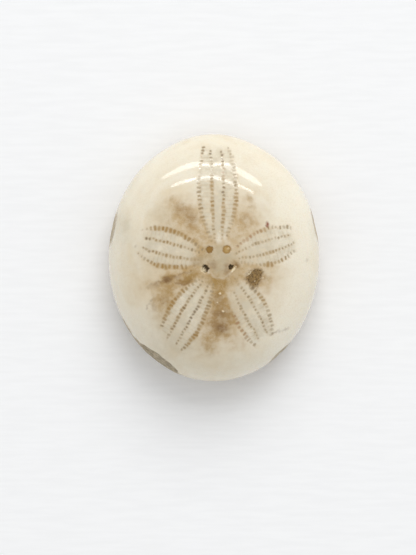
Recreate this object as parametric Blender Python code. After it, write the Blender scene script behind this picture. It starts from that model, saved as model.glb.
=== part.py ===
"""Polished fossil sand dollar: one stone-filled test, lying on its flat oral side.

Sizes are in millimetres, and MM turns them into metres where a mesh is made. +Y is the anterior end,
+Z is up, and the origin is on the resting plane under the middle of the outline.
"""

from collections import namedtuple
from math import atan2, cos, exp, hypot, pi, radians, sin

import bmesh
import bpy
from mathutils import Matrix, Vector

MM = 0.001

# Driving dimensions
LENGTH = 50.0
WIDTH = 42.6
HEIGHT = 18.0
RIM_HEIGHT = 6.5

# Form of the shell: superellipse powers above and below the rim, and the hollow of the underside
DOME_POWER = 2.35
BASE_POWER = 4.0
GROUND_AWAY = 0.6
ORAL_HOLLOW = 2.2
ORAL_HOLLOW_REACH = 0.62
SEGMENTS = 60
RINGS = 34

# Slight flats in the outline: azimuth and spread in degrees
Flat = namedtuple("Flat", "azimuth spread depth")
OUTLINE_FLATS = [Flat(70, 11, 0.2), Flat(114, 11, 0.15)]

# Rim facets that the polish missed: azimuth and tilt in degrees, inset of the plane at rim height
Facet = namedtuple("Facet", "name azimuth tilt inset")
RIM_FACETS = [
    Facet("facet_left_rear", 233.4, 17, 0.25),
    Facet("facet_left_front", 166, 11, 0.0),
    Facet("facet_right_front", 20.7, 9, 0.0),
    Facet("facet_right_rear", 315, 6, 0.2),
]

# The star of five petals: each row of pores runs from base to tip, past its widest place.
# The first number is the distance along the petal, the second the distance to its left.
APICAL_CENTRE = Vector((1.1, -0.9))
Row = namedtuple("Row", "pores base widest tip")
Petal = namedtuple("Petal", "azimuth outer_left inner_left inner_right outer_right")
PETALS = {
    "anterior": Petal(
        91.0,
        Row(25, (4.1, 1.5), (14.6, 3.9), (22.8, 2.8)),
        Row(25, (3.8, 0.85), (14.0, 1.25), (22.0, 1.35)),
        Row(24, (4.4, -0.4), (13.5, -1.0), (21.7, -0.75)),
        Row(25, (5.0, -1.45), (14.3, -3.5), (22.5, -2.15)),
    ),
    "left_anterior": Petal(
        166.7,
        Row(17, (4.0, 1.45), (11.3, 3.5), (15.9, 2.1)),
        Row(17, (4.1, 0.65), (10.7, 1.25), (15.2, 0.85)),
        Row(16, (4.4, -0.75), (12.0, -1.3), (15.0, -1.15)),
        Row(17, (3.9, -1.45), (11.7, -3.7), (16.0, -2.6)),
    ),
    "right_anterior": Petal(
        16.8,
        Row(16, (4.2, 1.85), (10.8, 3.45), (15.3, 2.25)),
        Row(17, (3.6, 0.6), (9.5, 1.3), (14.3, 1.1)),
        Row(18, (3.8, -0.5), (10.0, -1.15), (15.1, -0.6)),
        Row(16, (3.9, -1.25), (10.5, -3.35), (14.5, -2.2)),
    ),
    "left_posterior": Petal(
        -121.5,
        Row(20, (5.4, 1.65), (14.4, 3.35), (18.7, 2.65)),
        Row(20, (5.2, 0.65), (17.0, 1.15), (18.1, 1.15)),
        Row(19, (5.3, -0.9), (11.2, -1.25), (18.1, -0.9)),
        Row(16, (5.4, -1.7), (12.6, -3.6), (16.7, -3.1)),
    ),
    "right_posterior": Petal(
        -59.3,
        Row(15, (7.1, 2.7), (11.1, 3.4), (17.4, 1.75)),
        Row(17, (5.2, 0.75), (10.4, 1.3), (16.6, 0.7)),
        Row(15, (7.5, -0.8), (13.8, -1.15), (16.8, -1.15)),
        Row(10, (10.5, -3.05), (13.6, -3.25), (17.6, -2.35)),
    ),
}
OUTER_PORE = Vector((0.4, 0.17, 0.22))
INNER_PORE = Vector((0.27, 0.17, 0.22))

# Share of a row's own slant that its slits take
SLIT_TURN = 0.5

# Round hollows of the upper side: place in plan, half length and half width, turn in degrees, and depth
Hollow = namedtuple("Hollow", "place half_length half_width turn depth")
UPPER_HOLLOWS = {
    "genital_pore_left_front": Hollow((-0.9, 1.45), 0.65, 0.65, 0, 0.25),
    "genital_pore_right_front": Hollow((2.5, 1.45), 0.75, 0.75, 0, 0.25),
    "genital_pore_left_rear": Hollow((-1.8, -2.35), 0.7, 0.7, 0, 0.8),
    "genital_pore_right_rear": Hollow((3.45, -2.05), 0.7, 0.7, 0, 0.8),
    "weathered_pit_right": Hollow((7.75, -4.1), 1.7, 1.2, 12, 0.4),
    "weathered_pit_left": Hollow((-9.05, -4.45), 0.8, 0.5, -20, 0.25),
}

# Underside: the five-lobed mouth with its ring of bourrelets, the furrows, and the rear opening
MOUTH_CENTRE = Vector((0.4, 1.8))
MOUTH_RADIUS = 2.35
MOUTH_FLARE = 1.15
MOUTH_TAPER = 0.7
MOUTH_DEPTH = 2.2
MOUTH_LOBES = 0.16
BOURRELET_HALF = Vector((1.7, 1.3, 0.9))
BOURRELET_RELIEF = 0.5
BOURRELET_RING = MOUTH_RADIUS + 0.7 * BOURRELET_HALF.y
FURROW_DEPTH = 0.45
FURROW_WIDTH = 0.9
FURROW_FADE = 8
PERIPROCT_CENTRE = Vector((0.3, -20.0))
PERIPROCT_HALF = Vector((1.7, 1.3, 1.4))
PERIPROCT_TILT = -25


def between(angle, other):
    """Signed turn in radians from one angle to another, within half a turn."""
    return (angle - other + pi) % (2 * pi) - pi


def outline_radius(angle):
    """Distance from the axis to the rim, an ellipse with its slight flats."""
    radius = 1.0 / hypot(cos(angle) / (WIDTH / 2), sin(angle) / (LENGTH / 2))
    for flat in OUTLINE_FLATS:
        away = between(angle, radians(flat.azimuth)) / radians(flat.spread)
        radius -= flat.depth * exp(-away * away)
    return radius


def dome_height(x, y):
    """Height of the polished upper side over a point in plan."""
    reach = hypot(x, y) / outline_radius(atan2(y, x))
    rise = max(0.0, 1.0 - reach**DOME_POWER) ** (1.0 / DOME_POWER)
    return RIM_HEIGHT + (HEIGHT - RIM_HEIGHT) * rise


def furrow_depth(x, y):
    """Depth of the food grooves that run out from the mouth under the five petals."""
    out = Vector((x, y)) - MOUTH_CENTRE
    angle = atan2(out.y, out.x)
    depth = 0.0
    for petal in PETALS.values():
        turn = between(angle, radians(petal.azimuth))
        if abs(turn) < pi / 2:
            aside = out.length * sin(turn) / FURROW_WIDTH
            depth = max(depth, FURROW_DEPTH * exp(-aside * aside))
    return depth


def test_point(unit):
    """Moves a point of the unit sphere to the surface of the test."""
    angle = atan2(unit.y, unit.x)
    side = hypot(unit.x, unit.y)
    power = DOME_POWER if unit.z >= 0 else BASE_POWER
    stretch = (side**power + abs(unit.z) ** power) ** (-1.0 / power)
    reach = stretch * side
    rise = stretch * abs(unit.z)
    x = outline_radius(angle) * reach * cos(angle)
    y = outline_radius(angle) * reach * sin(angle)
    if unit.z >= 0:
        return Vector((x, y, RIM_HEIGHT + (HEIGHT - RIM_HEIGHT) * rise))
    hollow = ORAL_HOLLOW * max(0.0, 1.0 - (reach / ORAL_HOLLOW_REACH) ** 2) ** 2
    z = RIM_HEIGHT - (RIM_HEIGHT + GROUND_AWAY) * rise
    return Vector((x, y, z + hollow + furrow_depth(x, y) * rise**FURROW_FADE))


def oral_height(x, y):
    """Height of the underside over a point in plan."""
    reach = hypot(x, y) / outline_radius(atan2(y, x))
    rise = (1.0 - reach**BASE_POWER) ** (1.0 / BASE_POWER)
    side = Vector((x, y)).normalized() * reach
    return test_point(Vector((side.x, side.y, -rise))).z


def dome_frame(x, y, across):
    """Matrix at a point of the dome, with X along the direction across and Z along the normal."""
    step = 0.05
    slope_x = (dome_height(x + step, y) - dome_height(x - step, y)) / (2 * step)
    slope_y = (dome_height(x, y + step) - dome_height(x, y - step)) / (2 * step)
    normal = Vector((-slope_x, -slope_y, 1.0)).normalized()
    along = normal.cross(Vector((across.x, across.y, 0.0))).normalized()
    frame = Matrix((along.cross(normal), along, normal)).transposed().to_4x4()
    return Matrix.Translation((x, y, dome_height(x, y))) @ frame


def row_places(petal, row):
    """Plan point and direction across the row for each pore, evenly spaced from base to tip."""
    axis = Vector((cos(radians(petal.azimuth)), sin(radians(petal.azimuth))))
    left = Vector((-axis.y, axis.x))
    start, end = row.base[0], row.tip[0]
    for index in range(row.pores):
        along = start + (end - start) * index / (row.pores - 1)
        limb = row.base if along < row.widest[0] else row.tip
        share = (along - row.widest[0]) / (limb[0] - row.widest[0])
        aside = row.widest[1] + (limb[1] - row.widest[1]) * share**2
        slope = 2 * share * (limb[1] - row.widest[1]) / (limb[0] - row.widest[0])
        place = APICAL_CENTRE + axis * along + left * aside
        yield place, (left - axis * slope * SLIT_TURN).normalized()


def new_object(name, bm, collection):
    """Makes an object in metres from a bmesh in millimetres."""
    bmesh.ops.triangulate(bm, faces=bm.faces[:])
    bmesh.ops.scale(bm, vec=(MM, MM, MM), verts=bm.verts[:])
    mesh = bpy.data.meshes.new(name)
    bm.to_mesh(mesh)
    bm.free()
    made = bpy.data.objects.new(name, mesh)
    collection.objects.link(made)
    return made


def add_sphere(bm, matrix, size, segments, rings):
    """Adds an ellipsoid of the given half sizes at a matrix."""
    matrix = matrix @ Matrix.Diagonal((*size, 1.0))
    bmesh.ops.create_uvsphere(bm, u_segments=segments, v_segments=rings, radius=1.0, matrix=matrix)


def make_test(collection):
    """The closed test as the polish left it, before facets, hollows and pores."""
    bm = bmesh.new()
    bmesh.ops.create_uvsphere(bm, u_segments=SEGMENTS, v_segments=RINGS, radius=1.0)
    for vert in bm.verts:
        vert.co = test_point(vert.co)
    return new_object("fossil_test", bm, collection)


def make_bourrelets(collection):
    """Five low swellings round the mouth, between the furrows."""
    bm = bmesh.new()
    azimuths = sorted(petal.azimuth % 360 for petal in PETALS.values())
    for index, azimuth in enumerate(azimuths):
        following = azimuths[(index + 1) % 5] + (360 if index == 4 else 0)
        angle = radians((azimuth + following) / 2)
        place = MOUTH_CENTRE + Vector((cos(angle), sin(angle))) * BOURRELET_RING
        height = oral_height(*place) + BOURRELET_HALF.z - BOURRELET_RELIEF
        turn = Matrix.Rotation(angle + pi / 2, 4, "Z")
        add_sphere(bm, Matrix.Translation((*place, height)) @ turn, BOURRELET_HALF, 14, 8)
    return new_object("bourrelets", bm, collection)


def make_box(name, matrix, collection):
    """A block well larger than the test, whose bottom face is the matrix's XY plane."""
    size = 2 * LENGTH
    bm = bmesh.new()
    bmesh.ops.create_cube(bm, size=size, matrix=matrix @ Matrix.Translation((0, 0, size / 2)))
    return new_object(name, bm, collection)


def make_facet(facet, collection):
    """A block whose face grinds the rim off at the facet's azimuth and tilt."""
    azimuth = radians(facet.azimuth)
    reach = hypot(cos(azimuth) * WIDTH / 2, sin(azimuth) * LENGTH / 2) - facet.inset
    place = Matrix.Translation((reach * cos(azimuth), reach * sin(azimuth), RIM_HEIGHT))
    turn = Matrix.Rotation(azimuth, 4, "Z") @ Matrix.Rotation(pi / 2 - radians(facet.tilt), 4, "Y")
    return make_box(facet.name, place @ turn, collection)


def make_pores(collection):
    """All the pores of the five petals: slits across the row, longer in the outer rows."""
    bm = bmesh.new()
    for petal in PETALS.values():
        for row in petal[1:]:
            outer = row in (petal.outer_left, petal.outer_right)
            for place, across in row_places(petal, row):
                size = OUTER_PORE if outer else INNER_PORE
                add_sphere(bm, dome_frame(place.x, place.y, across), size, 4, 2)
    return new_object("pores", bm, collection)


def make_upper_hollows(collection):
    """The genital pores and the two weathered pits."""
    bm = bmesh.new()
    for hollow in UPPER_HOLLOWS.values():
        across = Vector((cos(radians(hollow.turn)), sin(radians(hollow.turn))))
        size = (hollow.half_length, hollow.half_width, hollow.depth)
        add_sphere(bm, dome_frame(*hollow.place, across), size, 10, 6)
    return new_object("upper_hollows", bm, collection)


def make_mouth(collection):
    """The five-lobed mouth, a tapered plug reaching up into the underside."""
    roof = oral_height(*MOUTH_CENTRE) + MOUTH_DEPTH
    depth = roof + GROUND_AWAY
    bm = bmesh.new()
    bmesh.ops.create_cone(
        bm,
        cap_ends=True,
        segments=30,
        radius1=MOUTH_RADIUS * MOUTH_FLARE,
        radius2=MOUTH_RADIUS * MOUTH_TAPER,
        depth=depth,
    )
    for vert in bm.verts:
        angle = atan2(vert.co.y, vert.co.x)
        lobes = 1.0 + MOUTH_LOBES * cos(5 * (angle - radians(PETALS["anterior"].azimuth)))
        vert.co.x *= lobes
        vert.co.y *= lobes
        vert.co += Vector((MOUTH_CENTRE.x, MOUTH_CENTRE.y, roof - depth / 2))
    return new_object("mouth", bm, collection)


def make_periproct(collection):
    """The oval rear opening, low on the margin behind."""
    bm = bmesh.new()
    centre = Matrix.Translation((*PERIPROCT_CENTRE, oral_height(*PERIPROCT_CENTRE)))
    add_sphere(bm, centre @ Matrix.Rotation(radians(PERIPROCT_TILT), 4, "X"), PERIPROCT_HALF, 14, 8)
    return new_object("periproct", bm, collection)


def polished_stone():
    """Cream polished fossil calcite."""
    material = bpy.data.materials.new("polished_fossil")
    material.use_nodes = True
    shader = material.node_tree.nodes["Principled BSDF"]
    shader.inputs["Base Color"].default_value = (0.78, 0.71, 0.58, 1.0)
    shader.inputs["Roughness"].default_value = 0.14
    shader.inputs["Metallic"].default_value = 0.0
    return material


def cut(target, cutter, operation="DIFFERENCE"):
    """Adds an exact Boolean with a hidden cutter."""
    cutter.hide_render = True
    cutter.display_type = "WIRE"
    boolean = target.modifiers.new(cutter.name, "BOOLEAN")
    boolean.operation = operation
    boolean.solver = "EXACT"
    boolean.object = cutter


def build():
    for old in list(bpy.data.objects):
        bpy.data.objects.remove(old, do_unlink=True)
    parts = bpy.data.collections.new("fossil_sand_dollar")
    cutters = bpy.data.collections.new("cutters")
    for collection in (parts, cutters):
        bpy.context.scene.collection.children.link(collection)
    test = make_test(parts)
    test.data.materials.append(polished_stone())
    cut(test, make_bourrelets(cutters), "UNION")
    cut(test, make_box("resting_plane", Matrix.Rotation(pi, 4, "X"), cutters))
    for facet in RIM_FACETS:
        cut(test, make_facet(facet, cutters))
    cut(test, make_mouth(cutters))
    cut(test, make_periproct(cutters))
    cut(test, make_upper_hollows(cutters))
    cut(test, make_pores(cutters))
    test.data.shade_smooth()
    test.data.set_sharp_from_angle(angle=radians(30))


build()
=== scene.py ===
"""Looks of the polished fossil sand dollar: a smooth shell with its pores, stains and worn rim.

Lengths on the shell are in millimetres, and MM turns them into metres where its mesh is made. The
floor, the lamps and the camera are placed in metres. Places on the shell are in plan: +Y is the
anterior end, +X the right side with the petals up.
"""

from collections import namedtuple

import bmesh
import bpy
import numpy as np
from mathutils import Matrix, Vector, noise


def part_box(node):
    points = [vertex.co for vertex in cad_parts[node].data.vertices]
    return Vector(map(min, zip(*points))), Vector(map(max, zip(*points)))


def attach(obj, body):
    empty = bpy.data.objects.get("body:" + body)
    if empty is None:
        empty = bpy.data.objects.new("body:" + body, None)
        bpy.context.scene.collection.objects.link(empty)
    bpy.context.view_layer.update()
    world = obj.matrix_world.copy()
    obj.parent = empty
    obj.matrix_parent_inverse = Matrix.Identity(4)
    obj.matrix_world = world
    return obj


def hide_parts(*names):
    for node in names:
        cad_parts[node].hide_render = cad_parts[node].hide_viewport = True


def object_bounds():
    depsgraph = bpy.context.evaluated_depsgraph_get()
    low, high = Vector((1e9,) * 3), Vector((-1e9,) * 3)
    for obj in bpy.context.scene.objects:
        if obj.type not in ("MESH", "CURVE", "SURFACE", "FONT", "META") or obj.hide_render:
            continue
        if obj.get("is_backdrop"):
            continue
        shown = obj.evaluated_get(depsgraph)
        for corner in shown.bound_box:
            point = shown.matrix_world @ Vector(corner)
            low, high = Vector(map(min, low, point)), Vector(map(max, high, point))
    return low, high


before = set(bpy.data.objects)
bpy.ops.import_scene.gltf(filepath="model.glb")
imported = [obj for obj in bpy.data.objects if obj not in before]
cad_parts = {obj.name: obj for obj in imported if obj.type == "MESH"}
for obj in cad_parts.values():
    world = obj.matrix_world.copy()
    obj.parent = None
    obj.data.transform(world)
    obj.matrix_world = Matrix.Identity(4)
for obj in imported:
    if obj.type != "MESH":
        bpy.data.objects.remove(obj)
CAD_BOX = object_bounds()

MM = 0.001
NODE = "fossil_test"
LOW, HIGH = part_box(NODE)
HALF_WIDTH = (HIGH[0] - LOW[0]) / MM / 2
HALF_LENGTH = (HIGH[1] - LOW[1]) / MM / 2
HEIGHT = (HIGH[2] - LOW[2]) / MM

# Form of the shell, as in the solid model
RIM_HEIGHT = 6.5
DOME_POWER = 2.35
BASE_POWER = 4.0
GROUND_AWAY = 0.6
GROUND_BLEND = 0.1
ORAL_HOLLOW = 2.2
ORAL_HOLLOW_REACH = 0.62

# Slight flats in the outline: azimuth and spread in degrees
Flat = namedtuple("Flat", "azimuth spread depth")
OUTLINE_FLATS = [Flat(70, 11, 0.2), Flat(114, 11, 0.15)]

# Rim facets that the polish missed: azimuth and tilt in degrees, inset of the plane at rim height,
# how grey the bare rock is, and how softly and how raggedly it starts
Facet = namedtuple("Facet", "azimuth tilt inset grey edge ragged")
RIM_FACETS = [
    Facet(233.2, 16, 0.16, 0.85, 0.06, 0.55),
    Facet(168.7, 13, 0.02, 0.45, 0.45, 0.8),
    Facet(13.0, 10, 0.04, 0.35, 0.35, 0.6),
    Facet(313.5, 10, 0.02, 0.5, 0.1, 0.6),
]
FACET_FOOT = 1.0

# Height of the natural, unpolished base, which climbs over the rim on the left and up to each facet
BASE_EDGE = 3.2
CLIMB_AZIMUTH = 235
CLIMB_SPREAD = 28
CLIMB_RISE = 2.6
TONGUE_SPREAD = 17
TONGUE_RISE = 2.3
BASE_FADE = 3.5

# The star of five petals: each row of pores runs from base to tip, past its widest place.
# The first number is the distance along the petal, the second the distance to its left.
APICAL_CENTRE = np.array((1.1, -0.9))
Row = namedtuple("Row", "pores base widest tip")
Petal = namedtuple("Petal", "azimuth outer_left inner_left inner_right outer_right")
PETALS = {
    "anterior": Petal(
        91.0,
        Row(25, (4.1, 1.5), (14.6, 3.9), (22.8, 2.8)),
        Row(25, (3.8, 0.85), (14.0, 1.25), (22.0, 1.35)),
        Row(24, (4.4, -0.4), (13.5, -1.0), (21.7, -0.75)),
        Row(25, (5.0, -1.45), (14.3, -3.5), (22.5, -2.15)),
    ),
    "left_anterior": Petal(
        166.7,
        Row(17, (4.0, 1.45), (11.3, 3.5), (15.9, 2.1)),
        Row(17, (4.1, 0.65), (10.7, 1.25), (15.2, 0.85)),
        Row(16, (4.4, -0.75), (12.0, -1.3), (15.0, -1.15)),
        Row(17, (3.9, -1.45), (11.7, -3.7), (16.0, -2.6)),
    ),
    "right_anterior": Petal(
        16.8,
        Row(16, (4.2, 1.85), (10.8, 3.45), (15.3, 2.25)),
        Row(17, (3.6, 0.6), (9.5, 1.3), (14.3, 1.1)),
        Row(18, (3.8, -0.5), (10.0, -1.15), (15.1, -0.6)),
        Row(16, (3.9, -1.25), (10.5, -3.35), (14.5, -2.2)),
    ),
    "left_posterior": Petal(
        -121.5,
        Row(22, (4.4, 1.3), (14.4, 3.35), (18.7, 2.65)),
        Row(22, (4.2, 0.5), (17.0, 1.15), (18.1, 1.15)),
        Row(21, (4.4, -0.7), (11.2, -1.25), (18.1, -0.9)),
        Row(18, (4.4, -1.3), (12.6, -3.6), (16.7, -3.1)),
    ),
    "right_posterior": Petal(
        -59.3,
        Row(16, (6.3, 2.4), (11.1, 3.4), (17.4, 1.75)),
        Row(18, (4.3, 0.7), (10.4, 1.3), (16.6, 0.7)),
        Row(16, (6.7, -0.7), (13.8, -1.15), (16.8, -1.15)),
        Row(10, (10.5, -3.05), (13.6, -3.25), (17.6, -2.35)),
    ),
}
RIBS_PER_MM = 1.28
UNDULATION = 0.005

# Slits: half length and half width, and the share of the row's slant that they take
OUTER_SLIT = (0.35, 0.185)
INNER_SLIT = (0.25, 0.16)
SLIT_TURN = 0.5
PORE_DEPTH = 0.03

# How single pores stray: shift, turn, and the least and most of their length, width and darkness.
# Filled ones are larger, and those near the ends of a row are shorter.
PORE_SHIFT = 0.06
PORE_TURN = 0.16
PORE_LEAST = (0.6, 0.7, 0.0)
PORE_MOST = (1.3, 1.35, 1.0)
FILLED_GROWTH = 0.3
ROW_ENDING = 2.5
ENDING_SIZE = 0.75
UPPER_SEED = 5
LOWER_SEED = 6

# The colour round a pore: how far past its ends and to its sides, how deep it has worn, and how far
# from the pore it is worked out
HALO_PAST = 0.12
HALO_WIDTH = 0.55
HALO_DEPTH = 0.008
HALO_REACH = 1.5

# Genital pores: place, radius, depth, and how dark the filling is; in the two deep, open ones the dark is
# painted shade in the hole
Genital = namedtuple("Genital", "place radius depth dark")
GENITAL_PORES = [
    Genital((-0.9, 1.45), 0.76, 0.06, 0.45),
    Genital((2.5, 1.45), 0.86, 0.06, 0.15),
    Genital((-1.75, -2.3), 0.72, 0.55, 0.95),
    Genital((3.25, -1.95), 0.5, 0.4, 0.95),
]

# A mark in the stone: place in plan, half sizes, strength, and turn in degrees
Stain = namedtuple("Stain", "place half_x half_y strength turn", defaults=[0])


def stains(*rows):
    """Stains from rows with the two numbers of the place first."""
    return [Stain(row[:2], *row[2:]) for row in rows]


# The sieve plate among the genital pores
DISC_CENTRE = np.array((1.15, -1.75))
DISC_RADIUS = 2.25

# The weathered pit, as lobes that flow together: place, half length, half width and turn in degrees
Lobe = namedtuple("Lobe", "place half_length half_width turn")
PIT_LOBES = [
    Lobe((7.4, -3.7), 1.4, 1.05, 25),
    Lobe((8.65, -3.2), 0.9, 0.8, 30),
    Lobe((8.0, -4.8), 1.35, 0.95, 85),
]
PIT_DEPTH = 0.2
CRYSTAL_RISE = 0.06

# Clear calcite crystals under the polish, and painted glints: the three small spots in the rear stain and
# the spot in the upper right genital pore are pale colour for small highlights
CRYSTALS_AND_GLINTS = stains(
    (1.18, -7.1, 0.26, 0.22, 0.95), (0.64, -8.86, 0.2, 0.15, 0.7, 20),
    (1.73, -10.58, 0.28, 0.2, 0.95, -15), (6.95, -3.2, 0.62, 0.2, 0.85, 42),
    (9.5, -4.1, 0.34, 0.16, 0.6, 5), (7.95, -4.7, 0.16, 0.14, 0.6),
    (1.1, 4.9, 0.2, 0.2, 0.6), (2.65, 1.6, 0.34, 0.22, 0.35),
    (-2.17, -2.47, 0.68, 0.54, 0.85, -35), (3.75, -2.45, 0.8, 0.32, 0.95, 52),
)

# Underside
MOUTH_CENTRE = np.array((0.4, 1.8))
MOUTH_RADIUS = 2.2
MOUTH_DEPTH = 2.1
MOUTH_LOBES = 0.16
FURROW_DEPTH = 0.45
FURROW_WIDTH = 0.9
FURROW_FADE = 8
BOURRELET_RING = 3.3
BOURRELET_HALF = (1.3, 0.95)
BOURRELET_RELIEF = 0.5
PERIPROCT_CENTRE = np.array((0.3, -20.0))
PERIPROCT_HALF = (1.7, 1.2)
PERIPROCT_DEPTH = 1.1
OPENING_SLOPE = 0.6
MOUTH_PORES = 8
MOUTH_PORE_START = 0.9
MOUTH_PORE_STEP = 0.62
MOUTH_PORE_ASIDE = 0.55
MOUTH_PORE_SIZE = (0.17, 0.14)
MOUTH_PORE_DEPTH = 0.12

# Soft stains under the polish, with painted shade among the grey ones and painted light among the pale
# ones
TAN_STAINS = stains(
    (-2.2, -3.2, 13.5, 14, 0.42), (-8.6, 0.8, 6, 3, 0.3),
    (13.6, -2.6, 2.4, 2, 0.3), (-3.4, -8.4, 2.4, 4, 0.3, -25),
    (1.1, -0.9, 6.5, 6, 0.4), (-3, -14, 8, 5, 0.3),
    (1.5, 8.5, 6, 5, 0.35), (8.5, -1.8, 3.2, 1.6, 0.5),
    (5, -9, 2.6, 4, 0.5), (2.3, -10.7, 2.8, 2.4, 0.8),
    (4.7, -16.9, 2, 1.2, 0.35), (-1.2, -13.6, 1.2, 2, 0.4),
    (-6, 8.2, 2.5, 4.2, 0.8, 40), (-8.2, 11.2, 1.2, 1.4, 0.3),
    (4.4, -8, 1.8, 2.6, 0.85, 30), (9.6, 9.4, 2.2, 2, 0.2),
    (-3.4, -1, 2, 1.5, 0.85), (-3.6, 1.2, 3, 1.8, 0.85),
    (-1.8, -6.4, 2.2, 2.2, 0.5), (4.6, -2.4, 2, 1.4, 0.4),
    (-7.4, 6.4, 2.2, 1.6, 0.4), (12.8, -6.2, 3, 2.6, 0.2),
    (1, 5.6, 2.4, 3, 0.35), (9.2, 4.2, 3, 1.4, 0.4, 20),
    (9.4, -6.2, 1.8, 1.6, 0.3, -30), (10.9, -9.4, 2.6, 3.2, 0.1),
    (4.6, 7, 1.2, 2.6, 0.3), (-3.4, 4.6, 2.4, 2, 0.45),
    (-9.8, 7.6, 1.8, 2.4, 0.35), (6.6, 6.9, 2.4, 2.6, 0.6, 10),
    (6.9, 11, 1.6, 1.8, 0.25), (4.6, 4.4, 1.8, 1.6, 0.3),
    (-6.2, -3.6, 5, 1.7, 0.85, 16), (-9, -7, 2.8, 2.4, 0.75, 35),
    (-10, -9, 1.5, 2, 0.4, 10), (-11.2, -10.2, 1.3, 3.4, 0.4, 12),
    (-13, -5.8, 1.8, 1.2, 0.3, 20), (1, -7.4, 2.4, 3.8, 0.85),
    (1.6, -12.8, 3.3, 4, 0.9), (-0.6, -17, 1.9, 2.6, 0.7, -20),
    (9.4, -4.4, 2.8, 2, 0.5, -20), (5, -4.4, 2.4, 2, 0.5),
)
OCHRE_STAINS = stains(
    (0.9, -4.7, 2.8, 1.2, 0.75), (1.3, -6.2, 1.7, 1.6, 0.5),
    (0.6, -8.6, 1.8, 2, 0.5), (-4.2, -3.6, 1.8, 0.9, 0.4, 30),
    (-5.6, -4.4, 2, 1, 0.85, 25), (-8.6, -6.6, 1.5, 1.3, 0.4),
    (-10.6, -8.2, 1.6, 1.4, 0.15), (-9.3, -4.4, 1.4, 1, 0.7),
    (4.2, -3, 1.6, 0.8, 0.35, -30), (6.8, 11.3, 0.6, 0.5, 0.5),
    (6.9, 10, 0.65, 0.5, 0.4), (-8.2, 12, 0.35, 0.6, 0.5),
    (1.8, -15.4, 1.9, 0.55, 0.5, -4), (-1.3, -17, 1.2, 1.4, 0.35),
    (9.9, -3.6, 1.5, 1, 0.35), (3.4, -10.8, 1, 3, 0.3, 20),
    (1, -0.9, 6, 5, 0.12), (3.85, -1.8, 0.9, 0.6, 0.6, -20),
)
BROWN_STAINS = stains(
    (-4.8, 7.6, 1.5, 2, 0.32, 25), (-6.5, 9.8, 1.4, 1.3, 0.22, -35),
    (2.2, -11.2, 1.5, 1.2, 0.25), (6.6, 7.2, 1.5, 1.6, 0.15),
    (0.9, -8.6, 1.3, 1.8, 0.3), (0.9, -10.9, 1.7, 0.6, 0.4, 8),
    (0.9, -13.2, 2.4, 2, 0.48), (1.35, -13.9, 0.9, 0.8, 0.7),
    (-6, -4.7, 1.2, 0.8, 0.35, 10), (-7.6, -4.1, 1.2, 0.5, 0.35, 10),
    (-10.9, -5, 1.3, 0.4, 0.3, 28), (-12, -5.9, 1.2, 0.7, 0.2, 20),
    (-9.7, -8.2, 1.1, 0.8, 0.25, 30), (7.9, -3.9, 1.7, 1.4, 0.5, 25),
    (7.75, -6.3, 0.5, 0.5, 0.6), (3.85, -1.8, 0.8, 0.45, 0.55, -20),
    (-0.6, -1.9, 1.1, 1.2, 0.4), (2.4, -2.5, 1.1, 1, 0.45),
)
# Grey tone round the sieve plate, and painted shade: the broad grey ones darken the left side and the
# lower rim
GREY_STAINS_AND_PAINTED_SHADE = stains(
    (-10, -15, 6, 5, 0.22, 30), (-6, -17, 2.6, 2, 0.3),
    (0, -21, 12, 3, 0.12), (1, 0.6, 2.6, 2, 0.5),
    (-2.8, -0.9, 1.8, 1.2, 0.45), (3.4, -0.1, 1.6, 1.2, 0.35),
    (-18.6, 5.8, 2.4, 3.4, 0.45), (-10.6, 8.4, 3.2, 3, 0.18),
    (19.8, 5, 1.5, 3, 0.35), (-14.5, 0.5, 4.5, 5.5, 0.1),
)
# Pale spots and streaks in the stone; the broad ones at the rim are painted light, lightening the right
# rim most and the left, lower and lower left rim less
PALE_STAINS_AND_PAINTED_LIGHT = stains(
    (0.9, 3.7, 0.6, 1.1, 0.7), (2.2, 3.9, 0.4, 0.8, 0.5),
    (2.3, 5.8, 0.5, 0.9, 0.5, -20), (-3.4, -6.6, 0.5, 1.6, 0.1, -35),
    (-6.4, -9.4, 0.8, 2.6, 0.6, -32), (-4.4, -11.4, 0.7, 2.6, 0.6, -28),
    (-8.6, 1.6, 3.2, 0.6, 0.35, -12), (9.4, 2.4, 3.6, 0.6, 0.35, 16),
    (-6.2, -7.6, 0.5, 1.9, 0.5, -35), (-3.6, -8.4, 0.5, 2.6, 0.35, -28),
    (18.5, -6, 5, 12, 0.65), (16.5, 10, 5, 9, 0.8, 20),
    (8.5, 18.5, 5.5, 4, 0.5, -30), (13.6, -9.4, 4, 4, 0.3),
    (15, -15.5, 6.5, 4.5, 0.85, 40), (8, -23, 4.5, 2.4, 0.6, 20),
    (-20, 0, 2.6, 9, 0.5), (13.4, 1.4, 2.2, 3, 0.65),
    (8.6, -13.6, 2.6, 2.4, 0.6), (-12.5, 10, 4.5, 4, 0.15),
    (-17.5, 8, 3, 5, 0.15), (0, -24.5, 9, 2.8, 0.25),
    (0.4, 21.2, 2, 1.6, 0.4), (-15.5, -15, 4, 4.5, 0.35, -40),
)
SMALL_STAINS = stains(
    (-9.2, -4.45, 0.85, 0.7, 1, -10), (-11.8, -9.7, 0.4, 0.9, 0.3, 15),
    (4.4, -1.5, 0.7, 0.5, 0.6, -20), (-3.5, -0.9, 1.6, 1, 0.15),
    (-15.3, 2.1, 0.25, 0.2, 0.4), (18.4, -0.5, 0.35, 0.35, 0.25),
)
RED_STAINS = stains((10.42, 6.45, 0.27, 0.45, 1.0, 14), (10.3, 5.95, 0.36, 0.24, 0.9, -40))

# Fine dark lines: half width, and points along them
VEIN_WIDTH = 0.17
VEINS = [
    [(-13.1, -6.0), (-12.2, -5.3), (-10.6, -4.8), (-9.0, -4.5), (-7.4, -3.9), (-6.4, -3.3), (-4.6, -2.9)],
    [(-7.6, -4.9), (-6.4, -5.6), (-5.3, -5.2), (-4.4, -4.3)],
    [(11.2, -15.1), (12.0, -14.9), (12.9, -14.6), (13.6, -14.4), (14.5, -14.1)],
    [(-13.4, -10.2), (-12.4, -8.6), (-11.6, -8.2)],
]

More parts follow.
